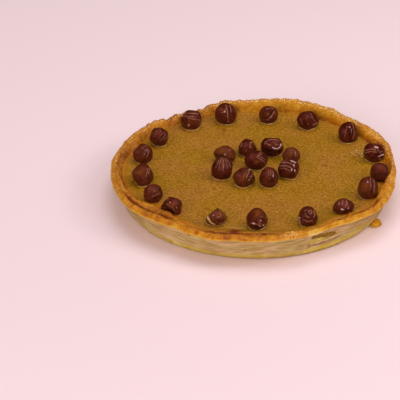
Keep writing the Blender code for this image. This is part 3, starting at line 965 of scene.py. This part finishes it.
MARK_KINDS = ("crest", "groove", "glint", "amber", "mauve", "cream")
NUTS = (
    Nut(crest=((4, -75, 58, -13, 67, 62, 60), (4, -80, 38, -13, 36, 30, 33), (4, -36, 19, 18, 5, 90, -4)),
        groove=((5, -70, 48, 0, 52, 80, 45),), glint=((6.8, -21, -52),), amber=((16, -13, -25),),
        mauve=((40, 25, 30),), cuts=((86, -75, 65), (86, 90, -40), (90, 10, 100))),
    Nut(crest=((3.6, 0, 78, 11, 32, 20, -80), (4, 37, 72, 44, 15), (3.6, -40, 8, -13, 17, -2, 40)),
        groove=((5, 27, 60, 30, 15),), glint=((5.1, -12, 17),), amber=((15, -37, 34),),
        mauve=((20, -56, 42), (16, 75, 35)), cuts=((86, -60, 60), (90, 75, 60)), lumps=0.06),
    Nut(crest=((4, -15, -59, 13, -36, 37, -14, 60, 42), (4, -28, 59, 13, 72, 45, 68)),
        groove=((7, -20, -35, 8, -9, 41, 34),), glint=((5.1, 24, -28),), amber=((20, -11, 5),),
        mauve=((20, 60, 10),), lumps=0.07),
    Nut(
        crest=(
            (4, 39, -41, 86, -20), (3.2, 47, -56, 78, -34), (3.2, 20, 77, 39, 30, 63, -9),
            (3.2, -65, 15, -50, -38),
        ),
        groove=((5, 40, -30, 86, -10),), mauve=((35, -10, 45),),
        cuts=((86, 0, 95), (86, 65, 65), (88, -80, -50)), point=(8, 98, -5), lumps=0.07, tone=0.0,
    ),
    Nut(
        crest=(
            (3.6, 35, 90, 51, 62, 56, 6, 49, -57), (3.2, 14, 50, 24, 38, 31, -6),
            (3.2, -10, 55, -30, 10, -35, -40),
        ),
        groove=((5, 41, 56, 43, -17),), glint=((5.1, 13, 50),), mauve=((25, -50, 6), (20, 75, -20)),
        cuts=((80, -65, 65), (90, 95, 10)), point=(14, 27, 96), lumps=0.07, tone=0.0, gloss=0.7,
    ),
    Nut(
        crest=(
            (5.4, 51, 2, 82, 15), (4, -78, 26, -31, 37, 8, 28), (4, -82, 0, -31, 13, 23, 4),
            (3.6, 43, -69, 70, -58),
        ),
        groove=((6, 36, -15, 90, 0),), glint=((5.5, 10, 57, 36, 50), (4.7, 43, -38, 66, -25, 92, -20)),
        mauve=((30, 10, 70),), cuts=((86, -55, 70),), lumps=0.06, tone=0.0, gloss=1.0,
    ),
    Nut(mauve=((40, 5, 60), (20, 72, 20)), lumps=0.04, gloss=0.1),
    Nut(crest=((3.2, 24, 88, 26, 25, 24, -4), (3.6, 52, 72, 58, 23, 54, -40)),
        groove=((5.5, 36, 71, 38, 0, 33, -42),), glint=((4.7, -4, 51),), amber=((40, -40, 10),), lumps=0.04,
        tone=0.15, gloss=0.4),
    Nut(crest=((4.4, -13, 35, -8, 78), (4.4, 15, 0, 30, 39, 25, 78), (3.6, -45, 20, -40, 60)),
        groove=((10, -80, -35, 0, -50, 80, -35),), glint=((6, -22, -22, -8, -28), (3.8, 40, -14)),
        mauve=((50, 0, 40),), cuts=((90, -60, 75),)),
    Nut(
        crest=(
            (4, 4, 40, 10, 60, 28, 62, 38, 45, 26, 28, 12, 30), (4, -30, 27, -20, -2, 6, -10),
            (4, 58, 50, 67, 12, 50, -10), (4, -34, 50, -16, 66), (4, -50, -30, -10, -50, 40, -40),
        ),
        groove=((5, -12, 40, -5, 12, 20, 8),), glint=((6.4, -88, -17), (4.7, -86, -42), (4.7, -80, -60)),
        cuts=((82, -70, 60), (88, 85, 50)), point=(8, 25, 95), lumps=0.06,
    ),
    Nut(crest=((5.4, -52, -37, -17, -42, 11, -50), (4, 58, 14), (3.6, 11, -28, 30, -35)),
        groove=((5, 60, 74, 64, 21), (12, -60, -60, 0, -68, 15, -80)),
        glint=((4.3, 31, -11), (5.5, 27, -60), (5.5, 57, -54), (4.3, -38, -37, -28, -40)),
        amber=((40, 0, 55),), cuts=((80, -75, 45), (84, 85, 40)), point=(8, 15, 97), gloss=0.9),
    Nut(crest=((3.6, 27, 87, 38, 10), (5.4, 30, -74, 57, -74, 80, -60), (4, 0, -10, 45, 5)),
        groove=((22, 28, -45), (5, -62, -10, -45, -50, -15, -70)), glint=((4.3, -27, 17),),
        amber=((25, 50, 30),), mauve=((30, 0, 30),), cream=((7, -84, 0, -74, -38, -50, -70, -12, -92),),
        cuts=((66, -72, 72), (68, 78, 60), (86, 95, -20), (86, 20, -95)), lumps=0.07, tone=0.25, gloss=0.8),
    Nut(
        crest=(
            (5.4, -90, 50, -70, 62), (4, -45, 70, -30, 75), (4, 17, -86, 30, -95),
            (3.2, -50, 20, 10, -10, 30, -50),
        ),
        groove=((14, -70, 10, -30, -20), (12, 35, -35)),
        glint=((5.1, -13, 38), (4.3, -85, 45), (3.8, 46, -18)), amber=((25, 20, 10),),
        mauve=((30, 40, 40),), cuts=((60, -45, -85), (80, -75, 65)), point=(20, 60, -75), lumps=0.12,
        gloss=0.9,
    ),
    Nut(crest=((3.6, -14, -32, 22, -16, 62, 5), (7.2, 12, 28), (6.3, -41, -53)),
        groove=((10, -10, -57, 30, -45, 80, -22),), mauve=((40, -10, 40),), tone=0.15),
    Nut(crest=((2.8, 48, 52, 38, 15, 30, -15), (2.8, 64, 60, 57, 30, 50, 10)), amber=((40, -14, 24),),
        mauve=((22, -72, 24), (25, 20, -50)), cuts=((86, 80, 60), (86, -80, -60), (86, -70, 70)),
        lumps=0.04, gloss=0.3),
    Nut(
        crest=(
            (3.2, 54, 6, 42, -27, 34, -39), (3.6, 12, 12, 25, -10), (3.6, 67, 32, 54, 10),
            (3.2, -6, 46, 10, 71, 42, 79), (3.2, 20, 30, 50, 50),
        ),
        amber=((22, -6, -20),), mauve=((30, -53, 14),), cuts=((88, -70, 70),),
    ),
    Nut(
        crest=(
            (2.8, 56, 46, 10, -1), (2.8, 76, 30, 38, -17, 16, -47), (2.8, 88, 2, 56, -31),
            (3.2, 10, 78, 25, 55),
        ),
        groove=((5, 66, 36, 22, -12),), glint=((4.7, -68, -72), (4.3, -10, -90)), mauve=((40, -20, 40),),
        cuts=((84, -80, 55), (84, -70, -70)), lumps=0.06,
    ),
    Nut(crest=((11.7, 39, 44),), groove=((10, -90, -10, -40, -22, -10, -10),), glint=((5.1, 3, -4),),
        amber=((40, -35, 35), (30, 65, -20)), cuts=((75, -50, -80), (85, 60, 75)), point=(10, -95, 15),
        lumps=0.07, tone=0.3, gloss=0.4),
    Nut(
        crest=(
            (2.8, -4, 86, -37, 50, -57, 2), (2.8, 0, 82, -20, 42, -28, -19),
            (3.6, 10, 82, 12, 30, 12, -23), (2.8, 22, 82, 43, 42, 52, -6), (2.8, 36, 80, 70, 42, 83, 2),
        ),
        groove=((10, 34, -62, 42, -85),), mauve=((50, 10, 20),), point=(5, 12, 98), lumps=0.04, tone=0.0,
        gloss=0.4,
    ),
    Nut(crest=((9, 36, 54), (6.3, 27, 42, 24, 4), (7.2, -17, -33), (4, 9, -46), (3.2, -58, 50, -70, 8)),
        glint=((4.3, 36, 56),), mauve=((30, -30, 30),), cuts=((78, -75, 60), (86, 85, 45)), lumps=0.09,
        tone=0.05, gloss=0.7),
    Nut(
        crest=(
            (3.2, -1, 26, 27, 64, 38, 79), (3.2, 15, 25, 30, 47, 46, 62), (3.2, 11, 21, 42, 2, 75, -27),
            (2.8, 35, 34, 63, 15, 80, -2),
        ),
        amber=((20, 3, -17),), mauve=((30, -36, 42),), cuts=((84, -60, 75),), lumps=0.06, tone=0.0,
    ),
    Nut(
        crest=(
            (7.2, 33, 27), (4, -38, 72, -14, 84, 25, 82, 57, 66), (4, -50, 40, -14, 18),
            (3.2, -70, 30, -50, 62),
        ),
        groove=((14, -60, -30, 20, -50),),
        glint=((4.3, 2, -3, 25, -20, 49, -17, 66, 1), (5.1, 73, 32, 73, 16)), mauve=((35, 20, 55),),
        cuts=((88, 0, 100),), lumps=0.06, tone=0.0, gloss=1.0,
    ),
    Nut(crest=((5.4, 42, 40, 48, -6), (5.4, -54, -30, -54, -55)), groove=((7, 14, 15, 22, -32),),
        amber=((28, -10, 15),), mauve=((30, 0, 70), (20, -60, 10)), tone=0.3),
    Nut(
        crest=(
            (3.6, -78, 60, -33, 70, 14, 58, 38, 40), (3.6, -84, 32, -41, 37, 6, 19, 26, 2),
            (3.6, -80, 6, -41, 10, 6, -16),
        ),
        groove=((5, -70, 46, -30, 50, 20, 32), (5, -70, 20, -30, 22, 20, 0)),
        glint=(
            (4.7, 22, 84, 45, 74, 60, 66), (4.3, 45, 46, 46, 28), (3.8, 28, 2, 26, -16),
            (3.8, 55, -7, 56, -24),
        ),
        mauve=((40, -30, 50),), cuts=((88, -75, 65), (86, 90, -30), (88, -30, -90)), tone=0.0, gloss=0.9,
    ),
    Nut(crest=((3.2, 48, 79, 36, 34, 20, -3), (3.2, 80, 34, 64, 6, 44, -21), (3.2, 22, 70, 10, 34, -4, 6)),
        groove=((4.5, 60, 60, 50, 20, 30, -12),), glint=((5.1, 47, 76), (3.8, 43, -22)),
        amber=((30, -20, -10),), mauve=((25, -55, 25),), cuts=((82, -70, 65), (84, 70, -65)), lumps=0.06,
        tone=0.15),
    Nut(crest=((3.2, 20, 60, 20, 17), (2.8, -2, 62, -7, 17), (2.8, 40, 60, 48, 30)),
        groove=((14, 45, -30),), glint=((3.8, 48, 25, 48, 8),), mauve=((35, 0, 50),), cuts=((86, -65, 65),),
        lumps=0.04),
)
RIDGE_HEIGHT = 0.035  # of a nut's half width
BOXINESS = 2.4
TURN_APART = 37  # degrees between one chestnut's turn and the next
MOST_LEAN = 0.35  # radians
WRINKLE = 0.01
WRINKLE_SIZE = (0.16, 0.16, 0.9)  # across and along the chestnut
POINT_SHARPNESS = 8
UNDERSIDE = -0.8
CUT_REACH = 1.08
CUT_SOFTNESS = 0.035
WIDENED = 1.04  # a chestnut's width, as a share of its CAD node's
SEAT_DEPTH = 0.6 * MM

VIEW_DOWN = math.radians(CAMERA_DOWN)
SEEN_RIGHT = np.array([1.0, 0.0, 0.0])
SEEN_UP = np.array([0.0, math.sin(VIEW_DOWN), math.cos(VIEW_DOWN)])
TO_VIEWER = np.array([0.0, -math.cos(VIEW_DOWN), math.sin(VIEW_DOWN)])


def seen(right, up):
    """The direction from a nut's middle to the place seen right of it and above it, both in hundredths."""
    right, up = right / 100, up / 100
    towards = math.sqrt(max(0.0, 1 - right**2 - up**2))
    found = right * SEEN_RIGHT + up * SEEN_UP + towards * TO_VIEWER
    return found / np.linalg.norm(found)


def distance_to_line(right, up, line):
    """How far each seen place lies from a line: numbers right and up, in turn. All are hundredths."""
    nearest = np.full_like(right, np.inf)
    places = list(zip(line[::2], line[1::2]))
    for (start_right, start_up), (end_right, end_up) in zip(places, places[1:] + places[-1:]):
        step_right, step_up = end_right - start_right, end_up - start_up
        length = max(step_right**2 + step_up**2, 1e-9)
        share = ((right - start_right) * step_right + (up - start_up) * step_up) / length
        share = np.clip(share, 0, 1)
        away = np.hypot(right - start_right - share * step_right, up - start_up - share * step_up)
        nearest = np.minimum(nearest, away)
    return nearest


def nut_marks(nut, grid, directions, seed):
    """How much of each kind of mark lies at each place on a nut: arrays from 0 to 1."""
    right, up = grid @ SEEN_RIGHT, grid @ SEEN_UP
    right = 200 * (right - right.min()) / np.ptp(right) - 100
    up = 200 * (up - up.min()) / np.ptp(up) - 100
    right = right + 5 * fractal(directions, 0.35, 2, seed=seed)
    up = up + 5 * fractal(directions, 0.35, 2, seed=seed + 30)
    broken = 0.55 + 0.45 * smooth_step(-0.4, 0.3, fractal(directions, 0.22, 2, seed=seed + 60))
    in_sight = smooth_step(-0.05, 0.1, directions @ TO_VIEWER)
    marks = {kind: np.zeros_like(right) for kind in MARK_KINDS}
    for kind in MARK_KINDS:
        # glints, which are painted highlights, and cream go only on the side that faces the camera
        strength = in_sight if kind in ("glint", "cream") else broken
        for half_width, *line in getattr(nut, kind):
            found = strength * hump(distance_to_line(right, up, line), 0, half_width)
            marks[kind] = np.maximum(marks[kind], found)
    return marks


def nut_shape(number, nut, directions):
    """A rounded block, turned its own way, with lumps, pressed sides, a point and a flat underside."""
    turn = math.radians(TURN_APART * number)
    side = directions @ np.array([math.cos(turn), math.sin(turn), 0.0])
    front = directions @ np.array([-math.sin(turn), math.cos(turn), 0.0])
    lean = MOST_LEAN * math.sin(5.1 * number)
    upright = math.cos(lean) * directions[..., 2] + math.sin(lean) * side
    side = math.cos(lean) * side - math.sin(lean) * directions[..., 2]
    blocks = np.abs(side) ** BOXINESS + np.abs(front) ** BOXINESS + np.abs(upright) ** BOXINESS
    reach = blocks ** (-1 / BOXINESS)
    reach = reach + 1.4 * nut.lumps * fractal(directions, 0.8, 2, seed=number)
    wrinkled = np.stack([side, front, upright], axis=-1) / WRINKLE_SIZE
    reach = reach + WRINKLE * fractal(wrinkled, 1.0, 3, seed=number)
    if nut.point:
        amount, *towards = nut.point
        reach = reach + amount / 100 * np.clip(directions @ seen(*towards), 0, 1) ** POINT_SHARPNESS
    for depth, *towards in nut.cuts:
        limit = depth / 100 * CUT_REACH / np.maximum(directions @ seen(*towards), 0.05)
        reach = reach - CUT_SOFTNESS * np.logaddexp(0, (reach - limit) / CUT_SOFTNESS)
    shape = directions * reach[..., None]
    shape[..., 2] = np.maximum(shape[..., 2], UNDERSIDE)
    return shape


def make_chestnut(number, nut, material):
    """One glazed chestnut in its CAD node's place. Returns its middle and its outline on the custard."""
    node = f"chestnut_{number:02d}"
    low, high = (np.array(corner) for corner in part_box(node))
    turns = np.arange(NUT_TURNS) * 360 / NUT_TURNS
    rise = np.radians(np.linspace(-90, 90, NUT_STEPS + 2)[None, 1:-1])
    directions = polar(np.cos(rise), turns[:, None], np.sin(rise))
    shape = nut_shape(number, nut, directions)
    bottom, top = shape.min(axis=(0, 1)), shape.max(axis=(0, 1))
    seat = low - np.array([0, 0, SEAT_DEPTH])
    wide = np.array([WIDENED, WIDENED, 1.0])
    grid = (seat + high) / 2 + ((shape - bottom) / (top - bottom) - 0.5) * (high - seat) * wide
    middle = grid.mean(axis=(0, 1))
    shades = nut_marks(nut, grid, directions, number)
    raised = shades["crest"] + 0.7 * shades["glint"] - 1.1 * shades["groove"]
    grid = middle + (grid - middle) * (1 + RIDGE_HEIGHT * raised)[..., None]
    shades["tone"] = np.full_like(raised, nut.tone)
    shades["gloss"] = np.full_like(raised, nut.gloss)
    first = (*grid[:, 0, :2].mean(axis=0), seat[2])
    last = tuple(grid[:, -1].mean(axis=0) + np.array([0, 0, 0.02 * MM]))
    piece = closed_piece(f"glazed_{node}", Skin(grid, first, last, shades))
    finish_piece(piece, material, "chestnut", node)
    just_above = low[2] + 0.5 * MM
    step = np.argmax(grid[..., 2] > just_above, axis=1)
    contact = np.take_along_axis(grid, step[:, None, None], axis=1)[:, 0, :2]
    return middle[:2], contact


def make_syrup(contacts, level, material):
    """A little syrup pooled round the foot of each chestnut."""
    skins = []
    for number, (middle, contact) in enumerate(contacts):
        outwards = contact - middle
        distance = np.linalg.norm(outwards, axis=1, keepdims=True)
        outwards = outwards / distance
        around_foot = np.column_stack([outwards, np.full(NUT_TURNS, number)])
        spill = 0.75 + 0.7 * fractal(around_foot, 0.6, 2, seed=15)
        steps = np.linspace(1, -0.8, 8)[None, :, None]
        places = middle + outwards[:, None] * (distance[:, None] + MM * steps * spill[:, None, None])
        thick = 0.75 * MM * smooth_step(1.0, -0.3, steps[..., 0]) - 0.12 * MM
        heights = custard_surface(places, level) + thick
        grid = np.concatenate([places, heights[..., None]], axis=-1)
        skins.append(Skin(grid, (*middle, level - 1 * MM), (*middle, level + 0.5 * MM)))
    pools = closed_piece("syrup_pools", *skins)
    finish_piece(pools, material, "custard")


# ---- Small things: bubbles, leaks and drips ----


# Clusters of pale bubbles on the custard; the one at 22 degrees stands in for wet glints, as painted
# highlight: angle, distance from the middle in mm, how many, and their spread in mm
BUBBLES = ((74, 125, 24, 5.0), (22, 112, 46, 5.5), (148, 110, 8, 3.0), (57, 128, 12, 4.0))
# Pale wet beads on the leak, put where glints show, as painted highlights: angle, and height in mm
GLINT_BEADS = ((-56.8, 14.8), (-51.6, 13.6), (-54.5, 13.4), (-63.5, 21.5))
# The drop beside the foot and the film round it: place, half widths and height in mm
DRIP = ((116.4, -56.0, 0.0), (5.9, 8.6), 3.0)
DRIP_FILM = ((113.5, -57.0, 0.0), (6.0, 9.5), 0.5)


def dome(middle, size, height, turns=16, steps=5, ragged=0.0, seed=0):
    """The skin of a low dome, all in mm. size is its half width along X and along Y."""
    middle, size, height = np.multiply(middle, MM), np.multiply(size, MM), height * MM
    angles = np.arange(turns) * 360 / turns
    outline = 1 + ragged * fractal(polar(1.0, angles, 0.0), 0.8, 3, seed=seed)
    share = np.linspace(1, 0, steps, endpoint=False)
    places = polar(outline[:, None] * share, angles[:, None], height * np.sqrt(1 - share**2))
    places = middle + places * (*size, 1)
    return Skin(places, tuple(middle), (middle[0], middle[1], middle[2] + height))


def make_bubbles(level, material):
    """Pale burst bubbles on the custard, in loose clusters; the cluster at 22 degrees stands in for wet
    glints, as painted highlight.
    """
    random = np.random.default_rng(4)
    skins = []
    for angle, distance, count, spread in BUBBLES:
        for _ in range(count):
            place = polar(distance * MM, angle, 0.0) + random.normal(0, spread * MM, 3) * (1, 0.9, 0)
            radius = random.uniform(0.3, 0.75)
            foot = float(custard_surface(place, level)) / MM - 0.15
            middle = (place[0] / MM, place[1] / MM, foot)
            skins.append(dome(middle, (radius, radius), 0.55 * radius + 0.15, 12, 4))
    bubbles = closed_piece("burst_bubbles_and_glints", *skins)
    finish_piece(bubbles, material, "custard")


def make_leaks(crust_grid, leaked, drip, pale):
    """Custard that ran out through the broken wall at the front right, and its drip beside the foot."""
    burst = wall_run(crust_grid, HOLLOW_START, (-52.8, 15.6), 2.5, 0.4, 21)
    finish_piece(closed_piece("leaked_custard", burst), leaked, "custard")
    ledge = wall_run(crust_grid, (-66.5, 12.3), (-49.8, 12.5), 0.8, 1.4, 23)
    finish_piece(closed_piece("leaked_ledge", ledge), pale, "custard")
    # pale beads put where glints show: painted highlight
    beads = [
        wall_run(crust_grid, (angle - 0.3, height), (angle + 0.3, height), 0.6, 1.2, 25)
        for angle, height in GLINT_BEADS
    ]
    finish_piece(closed_piece("glint_beads", *beads), pale, "custard")
    finish_piece(closed_piece("custard_drip", dome(*DRIP, 48, 14, 0.12, 31)), drip, "custard")
    finish_piece(closed_piece("drip_film", dome(*DRIP_FILM, 48, 10, 0.2, 33)), pale, "custard")


# ---- Stage ----


# Name, place, size, power, colour, and whether it shows as a glint
LIGHTS = (
    ("side_window", (1.35, -0.25, 1.2), (1.1, 1.1), 9.0, (1.0, 0.97, 0.93), False),
    ("side_glint", (1.35, -0.15, 1.0), (0.25, 0.25), 2.2, (1.0, 0.97, 0.93), True),
    ("back_glint", (0.4, 1.2, 1.7), (0.16, 0.16), 0.5, (1.0, 0.97, 0.95), True),
    ("overhead", (0.1, 0.3, 1.6), (1.2, 1.2), 10.5, (1.0, 0.96, 0.95), False),
    ("front_fill", (-0.8, -1.6, 0.8), (1.4, 1.0), 18.0, (1.0, 0.97, 0.92), False),
    ("low_glint", (0.35, -2.0, 0.42), (0.12, 0.12), 1.2, (1.0, 0.97, 0.95), True),
)
ROOM_COLOUR = (0.96, 0.90, 0.90, 1.0)
ROOM_STRENGTH = 0.36


def area_light(name, place, size, power, colour, mirrored):
    """A rectangular light aimed at the pie. Only a mirrored one shows as a glint."""
    lamp = bpy.data.lights.new(name, "AREA")
    lamp.shape = "RECTANGLE"
    lamp.size, lamp.size_y = size
    lamp.energy = power
    lamp.color = colour
    made = bpy.data.objects.new(name, lamp)
    made.location = place
    made.rotation_euler = (-Vector(place)).to_track_quat("-Z", "Y").to_euler()
    made.visible_glossy = mirrored
    bpy.context.scene.collection.objects.link(made)


def make_stage():
    """A pale floor, windows to the right and overhead, a fill from the front left and a pale room."""
    bpy.ops.mesh.primitive_plane_add(size=8.0, location=(0, 0, 0))
    floor = bpy.context.active_object
    floor.name = "studio_floor"
    floor.data.materials.append(floor_material())
    floor.visible_glossy = False
    for light in LIGHTS:
        area_light(*light)
    world = bpy.data.worlds.new("studio")
    world.use_nodes = True
    backdrop = world.node_tree.nodes["Background"]
    backdrop.inputs["Color"].default_value = ROOM_COLOUR
    backdrop.inputs["Strength"].default_value = ROOM_STRENGTH
    world.cycles_visibility.glossy = False
    bpy.context.scene.world = world
    bpy.context.scene.view_settings.view_transform = "Standard"


def make_camera():
    """The camera, where the photograph was taken from."""
    camera = bpy.data.cameras.new("camera")
    camera.lens = CAMERA_LENS_MM
    camera.sensor_width = SENSOR_MM
    camera.clip_end = 20.0
    made = bpy.data.objects.new("camera", camera)
    made.location = CAMERA_PLACE
    made.rotation_euler = (math.radians(90 - CAMERA_DOWN), 0, 0)
    bpy.context.scene.collection.objects.link(made)
    bpy.context.scene.camera = made


# ---- The pie ----


def main():
    for old in list(bpy.data.objects):
        bpy.data.objects.remove(old)
    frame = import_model()
    make_camera()
    make_stage()
    crust_grid = make_crust(frame, crust_material())
    level = make_custard(frame, custard_material())
    glazed = chestnut_material()
    contacts = [make_chestnut(number, nut, glazed) for number, nut in enumerate(NUTS, start=1)]
    make_syrup(contacts, level, syrup_material())
    pale = pale_material()
    make_bubbles(level, pale)
    make_leaks(crust_grid, leaked_material(), drip_material(), pale)


main()
